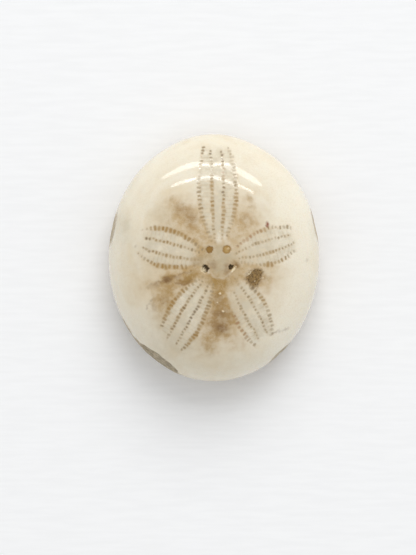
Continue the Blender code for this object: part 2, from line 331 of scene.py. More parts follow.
# Where the pores are filled with ochre, with red clay, and where they are almost closed
OCHRE_PORES = stains(
    (-3, 10.9, 1, 1.9, 0.35), (-2.4, 7.4, 1, 1.4, 0.5),
    (-0.45, 14.1, 0.8, 1.4, 1), (-0.35, 9.6, 0.8, 3.4, 0.75),
    (1.85, 8.8, 0.8, 4.4, 0.75), (4.1, 10.4, 1.2, 4, 0.7),
    (-9.6, 5.3, 3, 1, 0.95, -6), (-6, 4.4, 2.6, 1, 0.9, -28),
    (-9.4, -1.8, 4.2, 1.2, 1), (-10, 3.1, 5, 0.8, 0.55, -12),
    (-9, 0.6, 5, 0.8, 0.5, -12), (-5.2, -8.6, 2.4, 0.7, 0.5, 60),
    (-4.6, -11, 5, 0.7, 0.45, 63), (5.4, -13.4, 3.2, 1, 0.7, -58),
    (-8.6, -9.6, 3.4, 1.1, 1, 60), (-6.4, -6.6, 1.8, 1, 0.7, 50),
    (-7.4, -11.8, 3, 0.8, 0.8, 62), (-2.2, -12.2, 3.4, 1, 0.6, 76),
    (-4.2, -15.9, 2, 1.2, 0.95, 50), (9.4, -7.9, 2, 1, 0.75, -60),
    (6.6, -10, 4, 0.8, 0.35, -60), (9.4, 5.2, 1.4, 0.9, 0.6, 10),
    (11, 1, 1.9, 0.8, 0.6, 15), (10.4, -1.6, 1.1, 0.9, 0.9),
    (13, -1.1, 2.6, 0.9, 0.55, 14),
)
RED_PORES = stains(
    (6.6, 3.6, 3.2, 1.1, 0.7, 34), (5.2, -13.6, 3.4, 1.1, 0.6, -58),
    (1.6, 16.6, 0.8, 1.2, 0.6),
)
DARK_PORES = stains(
    (-2.4, 21.4, 1.2, 1.8, 0.1), (-0.6, 20.6, 0.8, 1.6, 0.9),
    (1.5, 20, 0.8, 1.6, 0.9), (1.85, 12.6, 0.8, 1, 0.8),
    (4, 15.4, 1, 2.4, 0.5), (-13.2, 3.4, 0.8, 0.8, 0.8),
    (-13, 1.4, 1.2, 1, 0.4), (-4.4, -11.7, 5.5, 0.6, 0.85, 58),
    (-6.4, -10.9, 5.5, 0.55, 0.5, 58), (-9.6, -13.4, 0.8, 0.8, 0.6),
    (8.2, -6.2, 0.9, 0.7, 0.8), (10.6, -13.4, 2.6, 0.9, 0.5, -62),
    (14.6, 3, 1, 0.6, 0.5),
)
FAINT_PORES = stains(
    (-0.5, 17.6, 0.8, 1.6, 0.6), (-3.2, 17, 1, 2.2, 0.8),
    (3.6, 18.6, 1.4, 2.6, 0.45), (6.6, -1.4, 2.8, 0.9, 0.75),
    (-3.6, -1.3, 2.6, 0.9, 0.6), (-13.4, 5.2, 1.6, 1, 0.55, 10),
    (-14.6, 0.2, 1.2, 1.4, 0.5), (-3, -3.9, 1.8, 1.2, 0.6, 30),
    (3.4, -6.6, 1.4, 3, 0.5, 20), (5.2, -5, 1.2, 1, 0.2, -50),
    (11.6, -12.4, 1.4, 2.6, 0.3), (16, 3.4, 2, 3, 0.35),
    (-5.6, -15.6, 1.6, 1, 0.35, 55), (1.1, 3.4, 3, 1.6, 0.3),
)

# Mesh edge lengths: far from detail, in the stained middle, at a pore, how fast they grow away from
# it, how far from a pore that is worked out, and how much longer than wanted an edge may be
COARSE_EDGE = 0.5
MIDDLE_EDGE = 0.26
MIDDLE_REACH = 12.5
FINE_EDGE = 0.1
EDGE_GROWTH = 0.35
PORE_REACH = 1.6
SPLIT_ABOVE = 1.4
FIRST_SUBDIVISIONS = 6
FAR = 99.0


def smooth(low, high, value):
    """Soft step from 0 at low to 1 at high."""
    share = np.clip((value - low) / (high - low), 0.0, 1.0)
    return share * share * (3.0 - 2.0 * share)


def between(angle, other):
    """Signed turn in radians from one angle to another, within half a turn."""
    return (angle - other + np.pi) % (2 * np.pi) - np.pi


def wave(points, scale, offset):
    """Smooth noise from -1 to 1, with features about 1 / scale long. Each offset gives another pattern."""
    shift = Vector((offset, -offset, 2.0 * offset))
    return np.array([noise.noise(Vector(point) * scale + shift) for point in points])


def turned(offset, degrees):
    """Offsets in plan, in axes turned by an angle."""
    turn = np.radians(degrees)
    along = offset[:, 0] * np.cos(turn) + offset[:, 1] * np.sin(turn)
    aside = -offset[:, 0] * np.sin(turn) + offset[:, 1] * np.cos(turn)
    return along, aside


def polar(offset):
    """Angle and length of offsets in plan."""
    return np.arctan2(offset[:, 1], offset[:, 0]), np.hypot(offset[:, 0], offset[:, 1])


def distance_to(plan, place):
    """Distance in plan from a place."""
    return polar(plan[:, :2] - place)[1]


def outline_radius(angle):
    """Distance from the axis to the rim, an ellipse with its slight flats."""
    radius = 1.0 / np.hypot(np.cos(angle) / HALF_WIDTH, np.sin(angle) / HALF_LENGTH)
    for flat in OUTLINE_FLATS:
        away = between(angle, np.radians(flat.azimuth)) / np.radians(flat.spread)
        radius = radius - flat.depth * np.exp(-away * away)
    return radius


def dome_height(plan):
    """Height of the polished upper side over points in plan."""
    angle, distance = polar(plan)
    reach = distance / outline_radius(angle)
    rise = np.maximum(0.0, 1.0 - reach**DOME_POWER) ** (1.0 / DOME_POWER)
    return RIM_HEIGHT + (HEIGHT - RIM_HEIGHT) * rise


def furrow_amount(plan):
    """How deep in one of the five food furrows points of the underside lie, from 0 to 1."""
    angle, distance = polar(plan - MOUTH_CENTRE)
    amount = np.zeros(len(plan))
    for petal in PETALS.values():
        turn = between(angle, np.radians(petal.azimuth))
        aside = distance * np.sin(turn) / FURROW_WIDTH
        amount = np.maximum(amount, np.exp(-aside * aside) * (np.abs(turn) < np.pi / 2))
    return amount


def swelling_amount(plan):
    """The five soft swellings between the furrows, round the mouth."""
    angle, distance = polar(plan - MOUTH_CENTRE)
    azimuths = sorted(petal.azimuth % 360 for petal in PETALS.values())
    amount = np.zeros(len(plan))
    for azimuth, following in zip(azimuths, azimuths[1:] + [azimuths[0] + 360]):
        turn = between(angle, np.radians((azimuth + following) / 2))
        across = distance * np.sin(turn) / BOURRELET_HALF[0]
        away = (distance * np.cos(turn) - BOURRELET_RING) / BOURRELET_HALF[1]
        amount += np.exp(-across * across - away * away)
    return amount


def mouth_inset(plan):
    """How far inside the edge of the lobed mouth points lie."""
    angle, distance = polar(plan - MOUTH_CENTRE)
    angle = angle - np.radians(PETALS["anterior"].azimuth)
    return MOUTH_RADIUS * (1.0 + MOUTH_LOBES * np.cos(5 * angle)) - distance


def periproct_inset(plan):
    """How far inside the edge of the rear opening points lie."""
    return PERIPROCT_HALF[1] * (1.0 - polar((plan - PERIPROCT_CENTRE) / PERIPROCT_HALF)[1])


def oral_relief(plan, reach, rise):
    """How far the underside rises into the shell."""
    hollow = ORAL_HOLLOW * np.maximum(0.0, 1.0 - (reach / ORAL_HOLLOW_REACH) ** 2) ** 2
    bands = FURROW_DEPTH * furrow_amount(plan) - BOURRELET_RELIEF * swelling_amount(plan)
    mouth = MOUTH_DEPTH * smooth(0.0, OPENING_SLOPE, mouth_inset(plan))
    opening = PERIPROCT_DEPTH * smooth(0.0, OPENING_SLOPE, periproct_inset(plan))
    return hollow + bands * rise**FURROW_FADE + mouth + opening


def facet_plane(facet):
    """Outward normal of a rim facet, and the distance of its plane from the origin."""
    azimuth, tilt = np.radians(facet.azimuth), np.radians(facet.tilt)
    normal = np.array([np.cos(azimuth) * np.cos(tilt), np.sin(azimuth) * np.cos(tilt), np.sin(tilt)])
    reach = np.hypot(np.cos(azimuth) * HALF_WIDTH, np.sin(azimuth) * HALF_LENGTH) - facet.inset
    through = np.array([reach * np.cos(azimuth), reach * np.sin(azimuth), RIM_HEIGHT])
    return normal, normal @ through


def shell_points(unit):
    """Points of the shell for points of the unit sphere, and how far each facet cut them back.

    The cut is negative where the facet's plane lies outside the shell.
    """
    upper = unit[:, 2] >= 0
    angle, side = polar(unit)
    power = np.where(upper, DOME_POWER, BASE_POWER)
    stretch = (side**power + np.abs(unit[:, 2]) ** power) ** (-1.0 / power)
    reach = stretch * side
    rise = stretch * np.abs(unit[:, 2])
    radius = outline_radius(angle) * reach
    plan = np.stack([radius * np.cos(angle), radius * np.sin(angle)], axis=1)
    dome = RIM_HEIGHT + (HEIGHT - RIM_HEIGHT) * rise
    base = RIM_HEIGHT - (RIM_HEIGHT + GROUND_AWAY) * rise + oral_relief(plan, reach, rise)
    ground = 0.5 * (base + np.sqrt(base * base + GROUND_BLEND**2))
    points = np.column_stack([plan, np.where(upper, dome, ground)])
    cuts = []
    for facet in RIM_FACETS:
        normal, distance = facet_plane(facet)
        cuts.append(np.where(points[:, 2] > FACET_FOOT, points @ normal - distance, -FAR))
        points = points - normal * np.maximum(0.0, cuts[-1])[:, None]
    return points, cuts


Pore = namedtuple("Pore", "place across half_length half_width own")


def row_aside(row, along):
    """Distance of a row from the petal's axis, and its slope, at distances along the petal."""
    limb_along = np.where(along < row.widest[0], row.base[0], row.tip[0])
    limb_aside = np.where(along < row.widest[0], row.base[1], row.tip[1])
    share = (along - row.widest[0]) / (limb_along - row.widest[0])
    aside = row.widest[1] + (limb_aside - row.widest[1]) * share**2
    return aside, 2 * share * (limb_aside - row.widest[1]) / (limb_along - row.widest[0])


def petal_axes(petal):
    """Unit vectors along a petal and to its left."""
    axis = np.array([np.cos(np.radians(petal.azimuth)), np.sin(np.radians(petal.azimuth))])
    return axis, np.array([-axis[1], axis[0]])


def row_pores(petal, row, random):
    """The pores of a row, evenly spaced over the dome's surface."""
    axis, left = petal_axes(petal)
    along = np.linspace(row.base[0], row.tip[0], 200)
    aside, _ = row_aside(row, along)
    plan = APICAL_CENTRE + along[:, None] * axis + aside[:, None] * left
    track = np.column_stack([plan, dome_height(plan)])
    length = np.concatenate([[0.0], np.cumsum(np.linalg.norm(np.diff(track, axis=0), axis=1))])
    even = np.interp(np.linspace(0.0, length[-1], row.pores), length, along)
    half_length, half_width = OUTER_SLIT if row in (petal.outer_left, petal.outer_right) else INNER_SLIT
    for u, v, slope in zip(even, *row_aside(row, even)):
        place = APICAL_CENTRE + axis * u + left * v + random.normal(0.0, PORE_SHIFT, 2)
        across = left - axis * (slope * SLIT_TURN + random.normal(0.0, PORE_TURN))
        across = across / np.linalg.norm(across)
        longer, wider, own = random.uniform(PORE_LEAST, PORE_MOST)
        longer += FILLED_GROWTH * stain_amount(place[None], OCHRE_PORES)[0]
        wider += FILLED_GROWTH * stain_amount(place[None], DARK_PORES)[0]
        ending = min(u - row.base[0], row.tip[0] - u)
        slimmer = ENDING_SIZE + (1.0 - ENDING_SIZE) * min(1.0, ending / ROW_ENDING)
        yield Pore(place, across, half_length * longer * slimmer, half_width * wider, own)


def petal_pores():
    """Every pore of the star on the upper side."""
    random = np.random.default_rng(UPPER_SEED)
    rows = [(petal, row) for petal in PETALS.values() for row in petal[1:]]
    return [pore for petal, row in rows for pore in row_pores(petal, row, random)]


def mouth_pores():
    """Short double rows of round pores that run out from the mouth along each furrow."""
    random = np.random.default_rng(LOWER_SEED)
    pores = []
    for petal in PETALS.values():
        axis, left = petal_axes(petal)
        for aside in (-1, 1):
            for step in range(MOUTH_PORES):
                along = MOUTH_RADIUS + MOUTH_PORE_START + MOUTH_PORE_STEP * step
                spread = MOUTH_PORE_ASIDE * (0.8 + 0.06 * step)
                place = MOUTH_CENTRE + axis * along + left * aside * spread + random.normal(0.0, 0.04, 2)
                pores.append(Pore(place, left, *MOUTH_PORE_SIZE, random.uniform(0.3, 1.0)))
    return pores


def close_to(plan, place, reach):
    """Numbers of the points near a place, and their offsets from it."""
    offset = plan - place
    close = np.nonzero((np.abs(offset) < reach).all(axis=1))[0]
    return close, offset[close]


def nearest_pore(plan, pores):
    """Distance from points to the ends of the nearest pore, or FAR where none is within reach."""
    near = np.full(len(plan), FAR)
    for pore in pores:
        close, offset = close_to(plan, pore.place, PORE_REACH)
        near[close] = np.minimum(near[close], polar(offset)[1] - pore.half_length - 0.05)
    return near


def edge_target(points, cuts, upper_pores, lower_pores):
    """Edge length that the mesh needs at points: fine where there is detail."""
    upper = points[:, 2] > RIM_HEIGHT
    away = np.full(len(points), FAR)
    plan = points[upper, :2]
    near = nearest_pore(plan, upper_pores)
    for genital in GENITAL_PORES:
        near = np.minimum(near, distance_to(plan, genital.place) - genital.radius - 0.15)
    for lobe in PIT_LOBES:
        near = np.minimum(near, distance_to(plan, lobe.place) - lobe.half_length - 0.1)
    for crystal in CRYSTALS_AND_GLINTS:
        near = np.minimum(near, distance_to(plan, crystal.place) - crystal.half_x)
    away[upper] = near
    plan = points[~upper, :2]
    near = nearest_pore(plan, lower_pores)
    near = np.minimum(near, np.abs(mouth_inset(plan) - 0.3) - 0.2)
    away[~upper] = np.minimum(near, np.abs(periproct_inset(plan) - 0.3) - 0.1)
    for cut in cuts:
        away = np.minimum(away, np.abs(cut) + 0.1)
    middle = upper & (distance_to(points, APICAL_CENTRE) < MIDDLE_REACH)
    longest = np.where(middle, MIDDLE_EDGE, COARSE_EDGE)
    return np.clip(FINE_EDGE + EDGE_GROWTH * np.maximum(0.0, away), FINE_EDGE, longest)


def split_edges(unit, faces, marks):
    """Splits marked edges of a closed triangle mesh in the middle. marks takes pairs of vertices."""
    sides = np.sort(faces[:, [[0, 1], [1, 2], [2, 0]]].reshape(-1, 2), axis=1)
    edges, back = np.unique(sides, axis=0, return_inverse=True)
    marked = marks(edges)
    middle = unit[edges[marked]].sum(axis=1)
    middle /= np.linalg.norm(middle, axis=1)[:, None]
    numbers = np.full(len(edges), -1)
    numbers[marked] = len(unit) + np.arange(marked.sum())
    mids = numbers[back.ravel()].reshape(-1, 3)
    count = (mids >= 0).sum(axis=1)
    made = [faces[count == 0]]

    def rotated(chosen, first):
        """Corners and middles of some faces, turned so that a given side comes first."""
        order = (first[:, None] + np.arange(3)) % 3
        rows = np.arange(len(first))[:, None]
        return np.hstack([faces[chosen][rows, order], mids[chosen][rows, order]]).T

    one = count == 1
    a, b, c, ab, _, _ = rotated(one, np.argmax(mids[one] >= 0, axis=1))
    made += [np.stack([a, ab, c], 1), np.stack([ab, b, c], 1)]
    two = count == 2
    a, b, c, _, bc, ca = rotated(two, np.argmax(mids[two] < 0, axis=1))
    made += [np.stack([ca, bc, c], 1), np.stack([a, b, bc], 1), np.stack([a, bc, ca], 1)]
    a, b, c, ab, bc, ca = rotated(count == 3, np.zeros((count == 3).sum(), int))
    made += [np.stack(corners, 1) for corners in ((a, ab, ca), (ab, b, bc), (ca, bc, c), (ab, bc, ca))]
    return np.vstack([unit, middle]), np.vstack(made)


def shell_mesh(upper_pores, lower_pores):
    """Unit sphere directions and triangles of the shell, finer where there is detail."""
    bm = bmesh.new()
    bmesh.ops.create_icosphere(bm, subdivisions=FIRST_SUBDIVISIONS, radius=1.0)
    unit = np.array([vert.co for vert in bm.verts])
    faces = np.array([[vert.index for vert in face.verts] for face in bm.faces])
    bm.free()
    grown = True
    while grown:
        points, cuts = shell_points(unit)

        def too_long(edges):
            """Edges longer than the mesh needs at their middle."""
            ends = points[edges]
            length = np.linalg.norm(ends[:, 0] - ends[:, 1], axis=1)
            cut = [each[edges].mean(axis=1) for each in cuts]
            return length > SPLIT_ABOVE * edge_target(ends.mean(axis=1), cut, upper_pores, lower_pores)

        before = len(unit)
        unit, faces = split_edges(unit, faces, too_long)
        grown = len(unit) > before
    return unit, faces


def vertex_normals(points, faces):
    """Normals of a mesh's vertices."""
    corner = points[faces]
    across = np.cross(corner[:, 1] - corner[:, 0], corner[:, 2] - corner[:, 0])
    normals = np.zeros_like(points)
    for column in range(3):
        np.add.at(normals, faces[:, column], across)
    return normals / np.linalg.norm(normals, axis=1)[:, None]


def stain_amount(plan, group):
    """How strongly a group of stains covers points in plan, from 0 to 1."""
    bare = np.ones(len(plan))
    for stain in group:
        along, aside = turned(plan - stain.place, stain.turn)
        spread = (along / stain.half_x) ** 2 + (aside / stain.half_y) ** 2
        bare *= 1.0 - stain.strength * np.exp(-(spread**1.5))
    return 1.0 - bare


def line_distance(plan, line):
    """Distance in plan to a line through points."""
    near = np.full(len(plan), FAR)
    for start, end in zip(np.array(line)[:-1], np.array(line)[1:]):
        step = end - start
        share = np.clip((plan - start) @ step / (step @ step), 0.0, 1.0)
        near = np.minimum(near, np.linalg.norm(plan - start - share[:, None] * step, axis=1))
    return near


class Marks:
    """The float layers and the relief of one side of the shell, filled mark by mark."""

    def __init__(self, points, region):
        self.points = points[region]
        self.plan = self.points[:, :2]
        self.region = region
        self.layers = {}
        self.relief = np.zeros(len(self.plan))

    def __getitem__(self, name):
        return self.layers.setdefault(name, np.zeros(len(self.plan)))

    def __setitem__(self, name, values):
        self.layers[name] = values

    def wave(self, scale, offset):
        return wave(self.points, scale, offset)

    def raise_to(self, name, values):
        """Keeps the larger of a layer and new values."""
        self[name] = np.maximum(self[name], values)


def mark_slits(marks, pores, depth):
    """The pores, their own darkness, and the colour that has spread from them."""
    ragged = 0.35 * marks.wave(3.5, 4) + 0.35 * marks.wave(0.8, 6)
    slit, own, halo = marks["slit"], marks["own"], marks["halo"]
    for pore in pores:
        close, offset = close_to(marks.plan, pore.place, HALO_REACH)
        along = offset @ pore.across
        aside = offset @ np.array([-pore.across[1], pore.across[0]])
        straight = pore.half_length - pore.half_width
        shape = np.hypot(np.maximum(np.abs(along) - straight, 0.0), aside) / pore.half_width
        cover = 1.0 - smooth(0.2, 1.8, shape + ragged[close])
        slit[close] = np.maximum(slit[close], cover)
        own[close] = np.where(cover > 0.01, pore.own, own[close])
        glow = np.exp(-((along / (pore.half_length + HALO_PAST)) ** 4) - (aside / HALO_WIDTH) ** 2)
        halo[close] = np.maximum(halo[close], glow)
    faint = stain_amount(marks.plan, FAINT_PORES)
    marks["slit"] = slit * (1.0 - 0.85 * faint)
    marks["halo"] = halo * (1.0 - faint)
    marks.relief -= depth * marks["slit"] + HALO_DEPTH * marks["halo"]


def mark_petals(marks):
    """The petals' pale insides, and the fine lines that join the pores of each pair of rows."""
    wobble = 0.12 * marks.wave(1.5, 7)
    for petal in PETALS.values():
        axis, left = petal_axes(petal)
        along = (marks.plan - APICAL_CENTRE) @ axis
        aside = (marks.plan - APICAL_CENTRE) @ left + wobble
        start = min(row.base[0] for row in petal[1:]) - 0.6
        end = max(petal.outer_left.tip[0], petal.outer_right.tip[0]) + 0.4
        within = smooth(start, start + 3.6, along) * (1.0 - smooth(end - 2.2, end + 0.4, along))
        rows = [row_aside(row, np.clip(along, start, end))[0] for row in petal[1:]]
        outer_left, inner_left, inner_right, outer_right = rows
        blade = smooth(-0.3, 0.5, outer_left - aside) * smooth(-0.3, 0.5, aside - outer_right)
        paired = smooth(0, 0.3, outer_left - aside) * smooth(0, 0.3, aside - inner_left)
        paired += smooth(0, 0.3, inner_right - aside) * smooth(0, 0.3, aside - outer_right)
        marks.raise_to("petal", within * blade)
        marks.raise_to("ribs", within * paired)
        marks["phase"] = np.where(within * blade > 0.01, along, marks["phase"])


def mark_hollows(marks):
    """The genital pores with painted shade in the two open ones, the sieve plate between them, the
    weathered pit, and the crystals with some painted glints.
    """
    rough = marks.wave(2.2, 2)
    fine = marks.wave(5.0, 3)
    ragged = 0.15 * rough + 0.12 * fine
    for genital in GENITAL_PORES:
        shape = (distance_to(marks.plan, genital.place) + ragged) / genital.radius
        cover = 1.0 - smooth(0.72, 1.16, shape)
        ring = smooth(0.3, 0.95, shape)
        marks.raise_to("filling", cover)
        marks["dark"] = np.where(cover > 0.01, genital.dark + 0.25 * ring, marks["dark"])
        marks.relief -= genital.depth * cover * (1.0 + 0.2 * fine)
    total = 0.2 * rough + 0.2 * fine
    for lobe in PIT_LOBES:
        along, aside = turned(marks.plan - lobe.place, lobe.turn)
        total = total + np.exp(-((along / lobe.half_length) ** 2) - (aside / lobe.half_width) ** 2)
    marks["crust"] = smooth(0.2, 0.8, total)
    marks.relief -= marks["crust"] * (PIT_DEPTH + 0.14 * fine)
    for crystal in CRYSTALS_AND_GLINTS:
        along, aside = turned(marks.plan - crystal.place, crystal.turn)
        shape = np.hypot(along / crystal.half_x, aside / crystal.half_y) + 0.5 * fine + 0.2 * rough
        cover = 1.0 - smooth(0.45, 1.2, shape)
        marks.raise_to("crystal", cover * crystal.strength)
        marks.relief += CRYSTAL_RISE * cover
    shape = distance_to(marks.plan, DISC_CENTRE) / DISC_RADIUS + 0.12 * marks.wave(0.9, 5) + 0.15 * rough
    marks["disc"] = 1.0 - smooth(0.4, 1.15, shape)
    behind = smooth(0.0, -1.2, marks.plan[:, 1] + 2.2)
    marks["disc_rim"] = np.exp(-(((shape - 1.06) / 0.12) ** 2)) * behind


def mark_stains(marks):
    """The soft brown, ochre and red stains of the upper side, grey and pale ones that are partly painted
    shade and light, and its fine dark lines.
    """
    shifts = []
    for offset, scale in ((20, 0.35), (21, 1.3), (22, 3.2)):
        shifts.append(np.column_stack([marks.wave(scale, offset), marks.wave(scale, offset + 10)]))
    wide, fine, grain = shifts
    plan = marks.plan + 0.9 * wide + 0.5 * fine + 0.2 * grain
    marks["tan"] = stain_amount(plan, TAN_STAINS)
    marks["ochre"] = stain_amount(plan, OCHRE_STAINS)
    near = marks.plan + 0.15 * fine + 0.1 * grain
    marks["brown"] = np.maximum(stain_amount(plan, BROWN_STAINS), stain_amount(near, SMALL_STAINS))
    marks["pale"] = stain_amount(near, PALE_STAINS_AND_PAINTED_LIGHT)
    marks["shade"] = stain_amount(plan, GREY_STAINS_AND_PAINTED_SHADE)
    marks["red"] = stain_amount(near, RED_STAINS)
    for line in VEINS:
        away = line_distance(marks.plan + 0.35 * fine, line)
        marks.raise_to("vein", np.exp(-((away / VEIN_WIDTH) ** 2)))
    marks["ochre_pore"] = stain_amount(marks.plan, OCHRE_PORES)
    marks["red_pore"] = stain_amount(marks.plan, RED_PORES)
    marks["dark_pore"] = stain_amount(marks.plan, DARK_PORES)


def mark_streaks(marks):
    """Faint growth bands that run round the shell."""
    angle, distance = polar(marks.plan)
    rings = 9.0 * (distance / outline_radius(angle)) + 0.12 * marks.points[:, 2]
    bands = np.column_stack([rings, 1.6 * np.cos(angle), 1.6 * np.sin(angle)])
    marks["streak"] = 0.5 + wave(bands, 1.0, 40) + 0.4 * wave(bands, 2.7, 41)


def mark_facets(marks, cuts):
    """The grey facets at the rim, rough where the rest is polished."""
    ragged = 0.16 * marks.wave(0.6, 49) + 0.1 * marks.wave(1.5, 50) + 0.05 * marks.wave(4.0, 51)
    for facet, cut in zip(RIM_FACETS, cuts):
        worn = smooth(-0.02, facet.edge, cut[marks.region] + facet.ragged * ragged)
        marks.raise_to("grey", worn * facet.grey)
        marks.raise_to("worn", worn)
    marks.relief += marks["worn"] * (0.03 * marks.wave(1.6, 60) + 0.02 * marks.wave(4.0, 61) - 0.02)


def mark_base(marks):
    """The natural base that the polish stops at, higher on the left."""
    angle, _ = polar(marks.plan)
    away = np.abs(between(angle, np.radians(CLIMB_AZIMUTH))) / np.radians(CLIMB_SPREAD)
    climb = 1.0 - smooth(0.5, 1.5, away)
    edge = BASE_EDGE + (RIM_HEIGHT + CLIMB_RISE - BASE_EDGE) * climb
    # Greyer near the rim where the base climbs on the left and at each facet; from above this shows as a
    # thin darker line along the rim
    greyness = 0.65 * climb
    for facet in RIM_FACETS:
        azimuth = np.radians(facet.azimuth)
        touching = np.arctan2(HALF_LENGTH**2 * np.sin(azimuth), HALF_WIDTH**2 * np.cos(azimuth))
        away = np.abs(between(angle, touching)) / np.radians(TONGUE_SPREAD)
        tongue = 1.0 - smooth(0.2, 1.6, away)
        edge = np.maximum(edge, BASE_EDGE + (RIM_HEIGHT + TONGUE_RISE - BASE_EDGE) * tongue)
        greyness = np.maximum(greyness, facet.grey * tongue)
    ragged = 1.1 * marks.wave(0.3, 52) + 0.7 * marks.wave(0.9, 58) + 0.3 * marks.wave(2.6, 59)
    height = marks.points[:, 2]
    base = 1.0 - smooth(-0.3, 0.4, height - edge + ragged)
    marks["natural"] = np.maximum(base, marks["worn"])
    near_rim = smooth(RIM_HEIGHT - 4.0, RIM_HEIGHT, height)
    marks.raise_to("grey", greyness * base * near_rim)
    marks.relief += marks["natural"] * (0.04 * marks.wave(0.8, 62) - 0.03)


def mark_underside(marks):
    """The stained furrows of the underside, and the rock that fills its openings."""
    below = smooth(0.0, BASE_FADE, RIM_HEIGHT - marks.points[:, 2])
    for name in ("tan", "ochre", "brown", "shade", "pale", "red", "vein"):
        marks[name] = marks[name] * (1.0 - below)
    marks["tan"] += below * 0.5 * smooth(-0.1, 0.5, marks.wave(0.16, 57))
    mouth, rear = mouth_inset(marks.plan), periproct_inset(marks.plan)
    marks["matrix"] = smooth(0.15, 0.6, np.maximum(mouth, rear) + 0.1 * marks.wave(2.5, 53))
    marks.relief += marks["matrix"] * (0.16 * marks.wave(1.4, 54) + 0.07 * marks.wave(3.5, 55))
    near = 1.0 - smooth(6.0, 17.0, distance_to(marks.plan, MOUTH_CENTRE))
    marks["furrow"] = furrow_amount(marks.plan + 0.3 * marks.wave(0.8, 56)[:, None]) * below * near
    round_openings = np.exp(-((mouth / 1.6) ** 2)) + np.exp(-((rear / 0.8) ** 2))
    marks.raise_to("furrow", 0.7 * round_openings * below)


LAYERS = """slit own halo ochre_pore red_pore dark_pore petal ribs phase filling dark crystal crust
disc disc_rim tan ochre brown shade pale red vein streak grey worn natural matrix furrow""".split()


def add_object(name, data):
    """Puts a new object in the scene."""
    made = bpy.data.objects.new(name, data)
    bpy.context.scene.collection.objects.link(made)
    return made


def make_shell():
    """The whole shell as one closed mesh, with a float layer for each mark."""
    upper_pores, lower_pores = petal_pores(), mouth_pores()
    unit, faces = shell_mesh(upper_pores, lower_pores)
    base, cuts = shell_points(unit)
    above = Marks(base, base[:, 2] > RIM_HEIGHT)
    below = Marks(base, base[:, 2] <= RIM_HEIGHT)
    mark_slits(above, upper_pores, PORE_DEPTH)
    mark_slits(below, lower_pores, MOUTH_PORE_DEPTH)
    mark_petals(above)
    mark_hollows(above)
    mark_stains(above)
    mark_stains(below)
    mark_underside(below)
    swell = 3.0 * wave(base, 0.2, 69) + wave(base, 0.5, 70) + 0.4 * wave(base, 1.4, 71)
    relief = UNDULATION * swell
    layers = {name: np.zeros(len(base)) for name in LAYERS}
    for marks in (above, below):
        mark_streaks(marks)
        mark_facets(marks, cuts)
        mark_base(marks)
        relief[marks.region] += marks.relief
        for name, values in marks.layers.items():
            layers[name][marks.region] = values
    points = base + vertex_normals(base, faces) * relief[:, None]
    points[:, 2] = np.maximum(points[:, 2], 0.0)
    mesh = bpy.data.meshes.new("sand_dollar_shell")
    mesh.from_pydata((points * MM).tolist(), [], faces.tolist())
    for name in LAYERS:
        layer = mesh.attributes.new(name, "FLOAT", "POINT")
        layer.data.foreach_set("value", layers[name].astype(np.float32))
    mesh.shade_smooth()
    return add_object("sand_dollar_shell", mesh)


def tone(red, green, blue):
    """Linear colour from display values of 0 to 255."""
    share = np.array([red, green, blue]) / 255.0
    linear = np.where(share <= 0.04045, share / 12.92, ((share + 0.055) / 1.055) ** 2.4)
    return (*linear.tolist(), 1.0)


class Shader:
    """Short calls for the nodes of one material. A value that is a word names a layer of the mesh."""

    def __init__(self, name):
        self.material = bpy.data.materials.new(name)
        self.material.use_nodes = True
        self.tree = self.material.node_tree
        self.surface = self.tree.nodes["Principled BSDF"].inputs
        self.place = self.node("TexCoord", "Object", {})

    def node(self, kind, output, inputs, **settings):
        """Adds a node, and gives one of its outputs."""
        made = self.tree.nodes.new("ShaderNode" + kind)
        for name, value in settings.items():
            setattr(made, name, value)
        self.fill(made.inputs, inputs)
        return made.outputs[output]

    def fill(self, sockets, inputs):
        """Links sockets, or sets their values."""
        for name, value in inputs.items():
            if isinstance(value, str):
                value = self.node("Attribute", "Fac", {}, attribute_name=value)
            if isinstance(value, bpy.types.NodeSocket):
                self.tree.links.new(value, sockets[name])
            else:
                sockets[name].default_value = value

    def noise(self, per_mm, detail=4.0, roughness=0.6, distortion=0.0, stretch=None):
        place = self.place
        if stretch:
            place = self.node("Mapping", "Vector", {"Vector": place, "Scale": stretch})
        inputs = {"Vector": place, "Scale": per_mm / MM, "Detail": detail}
        inputs |= {"Roughness": roughness, "Distortion": distortion}
        return self.node("TexNoise", "Fac", inputs)

    def cells(self, per_mm):
        return self.node("TexVoronoi", "Distance", {"Vector": self.place, "Scale": per_mm / MM})

    def math(self, operation, first, second=0.0, clamp=False):
        return self.node("Math", 0, {0: first, 1: second}, operation=operation, use_clamp=clamp)

    def times(self, first, *others):
        """Product of several values, held between 0 and 1."""
        for other in others:
            first = self.math("MULTIPLY", first, other, clamp=True)
        return first

    def most(self, first, *others):
        """Largest of several values."""
        for other in others:
            first = self.math("MAXIMUM", first, other)
        return first

    def band(self, value, low, high, start=0.0, end=1.0):
        """Soft step from start to end as the value goes from low to high."""
        inputs = {"Value": value, "From Min": low, "From Max": high, "To Min": start, "To Max": end}
        return self.node("MapRange", "Result", inputs, interpolation_type="SMOOTHSTEP")

    def over(self, colour, *coats):
        """Lays coats over a colour. Each has a tint, and shares whose product is its strength."""
        for tint, *shares in coats:
            inputs = {0: self.times(*shares), 6: colour, 7: tint}
            colour = self.node("Mix", 2, inputs, data_type="RGBA")
        return colour

    def bump(self, height, distance, **inputs):
        inputs |= {"Height": height, "Distance": distance * MM}
        return self.node("Bump", "Normal", inputs)


